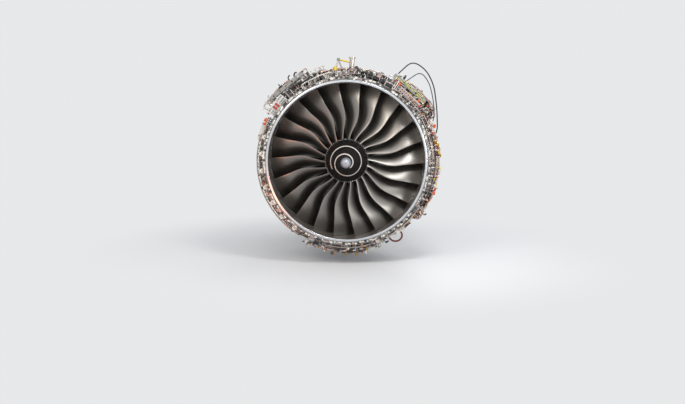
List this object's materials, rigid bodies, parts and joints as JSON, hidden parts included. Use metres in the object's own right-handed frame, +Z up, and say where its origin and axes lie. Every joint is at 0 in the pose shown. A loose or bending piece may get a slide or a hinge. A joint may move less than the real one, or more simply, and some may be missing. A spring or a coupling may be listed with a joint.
{
  "type": "turbofan jet engine",
  "caption": "Bare high-bypass turbofan: wide-chord fan in a flanged case, three coaxial spools, strutted frames, annular combustor, accessory gearbox and case-mounted services.",
  "frame": {"origin": "centre of the inlet flange's front face, on the engine's axis", "axes": "-Y out of the inlet along the engine's axis, +Y towards the exhaust, +Z up, +X to the right seen from the front"},
  "size_m": [3.5531, 5.8036, 3.8613],
  "materials": {
    "case_silver": "satin machined",
    "track_liner": "matt grey lining",
    "rear_case": "satin composite",
    "vane_metal": "satin",
    "fairing_grey": "satin paint",
    "blade_titanium": "satin titanium",
    "disc_titanium": "machined titanium",
    "filler_black": "matt black composite",
    "spinner_black": "satin black paint",
    "nose_grey": "smooth grey rubber",
    "fastener_steel": "satin",
    "frame_titanium": "satin",
    "accessory_grey": "cast, satin",
    "polished_steel": "polished",
    "core_titanium": "satin",
    "hot_case": "heat-tinted nickel alloy",
    "hot_fitting": "satin",
    "pipe_steel": "drawn tube",
    "rotor_steel": "ground",
    "hot_rotor": "cast nickel alloy",
    "accessory_dark": "satin dark paint",
    "accessory_gold": "gold chromate",
    "tank_white": "satin white paint",
    "mount_steel": "forged",
    "bracket_cream": "satin cream paint",
    "beam_grey": "satin grey paint",
    "box_white": "satin off-white paint"
  },
  "bodies": {
    "engine": {"fan_case": "case_silver", "fan_track_liner": "track_liner", "rear_fan_case": "rear_case", "outlet_guide_vanes": "vane_metal", "core_fairing": "fairing_grey", "front_bearing_frame": "frame_titanium", "inlet_guide_vanes": "vane_metal", "vane_actuator": "accessory_grey", "mid_compressor_case": "core_titanium", "intercase": "frame_titanium", "high_compressor_case": "core_titanium", "combustor_case": "hot_case", "combustor_liner": "hot_case", "fuel_injectors": "hot_fitting", "fuel_manifold": "pipe_steel", "turbine_case": "hot_case", "tail_bearing_housing": "hot_case", "exhaust_cone": "hot_fitting", "front_roller_bearing": "polished_steel", "thrust_bearings": "polished_steel", "rear_roller_bearings": "polished_steel", "angle_gearbox": "accessory_grey", "accessory_gearbox": "accessory_grey", "gearbox_cover": "accessory_grey", "air_starter": "accessory_grey", "generator": "accessory_dark", "fuel_pump": "accessory_gold", "hydraulic_pump": "accessory_grey", "oil_tank": "tank_white", "heat_exchanger": "accessory_dark", "front_mount": "mount_steel", "rear_mount": "mount_steel", "thrust_struts": "mount_steel", "gusset_brackets": "bracket_cream", "service_rail": "bracket_cream", "upper_beams": "beam_grey", "control_box": "box_white", "bleed_duct": "pipe_steel", "service_pipes": "pipe_steel"},
    "low_spool": {"fan_blades": "blade_titanium", "fan_disc": "disc_titanium", "annulus_fillers": "filler_black", "spinner": "spinner_black", "spinner_nose": "nose_grey", "spinner_bolts": "fastener_steel", "low_shaft": "rotor_steel", "low_turbine": "hot_rotor"},
    "mid_spool": {"mid_compressor": "rotor_steel", "mid_turbine": "hot_rotor"},
    "high_spool": {"high_compressor": "rotor_steel", "high_turbine": "hot_rotor"},
    "radial_shaft": {"radial_drive_shaft": "rotor_steel"},
    "transfer": {"transfer_shaft": "rotor_steel", "drive_gear": "polished_steel"},
    "starter_train": {"starter_gear": "polished_steel"},
    "generator_train": {"generator_gear": "polished_steel"},
    "fuel_train": {"fuel_pump_gear": "polished_steel"},
    "hydraulic_train": {"hydraulic_pump_gear": "polished_steel"},
    "vane_ring": {"unison_ring": "frame_titanium"},
    "ram": {"actuator_ram": "polished_steel"}
  },
  "joints": [
    {"name": "low_spin", "type": "hinge", "parent": "engine", "child": "low_spool", "pos_m": [0, 0, 0], "axis": [0, 1, 0], "continuous": true},
    {"name": "mid_spin", "type": "hinge", "parent": "engine", "child": "mid_spool", "pos_m": [0, 1.5, 0], "axis": [0, 1, 0], "continuous": true},
    {"name": "high_spin", "type": "hinge", "parent": "engine", "child": "high_spool", "pos_m": [0, 2.5, 0], "axis": [0, 1, 0], "continuous": true},
    {"name": "radial_shaft_spin", "type": "hinge", "parent": "engine", "child": "radial_shaft", "pos_m": [0, 1.905, -1], "axis": [0, 0, -1], "continuous": true},
    {"name": "transfer_spin", "type": "hinge", "parent": "engine", "child": "transfer", "pos_m": [0, 1.5, -1.722], "axis": [0, 1, 0], "continuous": true},
    {"name": "starter_gear_spin", "type": "hinge", "parent": "engine", "child": "starter_train", "pos_m": [0.17577, 0, -1.71301], "axis": [0, 1, 0], "continuous": true},
    {"name": "generator_gear_spin", "type": "hinge", "parent": "engine", "child": "generator_train", "pos_m": [-0.17577, 0, -1.71301], "axis": [0, 1, 0], "continuous": true},
    {"name": "fuel_gear_spin", "type": "hinge", "parent": "engine", "child": "fuel_train", "pos_m": [0.3497, 0, -1.68612], "axis": [0, 1, 0], "continuous": true},
    {"name": "hydraulic_gear_spin", "type": "hinge", "parent": "engine", "child": "hydraulic_train", "pos_m": [-0.3497, 0, -1.68612], "axis": [0, 1, 0], "continuous": true},
    {"name": "vane_ring_turn", "type": "hinge", "parent": "engine", "child": "vane_ring", "pos_m": [0, 1.286, 0], "axis": [0, 1, 0], "range_deg": [-1.6, 1.6]},
    {"name": "ram_slide", "type": "slide", "parent": "engine", "child": "ram", "axis": [0.5, 0, -0.866], "range_m": [-0.0215, 0.0215]}
  ],
  "couplings": [
    {"joint": "radial_shaft_spin", "follows": "high_spin", "ratio": -2},
    {"joint": "transfer_spin", "follows": "high_spin", "ratio": 2},
    {"joint": "starter_gear_spin", "follows": "high_spin", "ratio": -2},
    {"joint": "generator_gear_spin", "follows": "high_spin", "ratio": -2},
    {"joint": "fuel_gear_spin", "follows": "high_spin", "ratio": 2},
    {"joint": "hydraulic_gear_spin", "follows": "high_spin", "ratio": 2},
    {"joint": "ram_slide", "follows": "vane_ring_turn", "m_per_rad": 0.76}
  ]
}
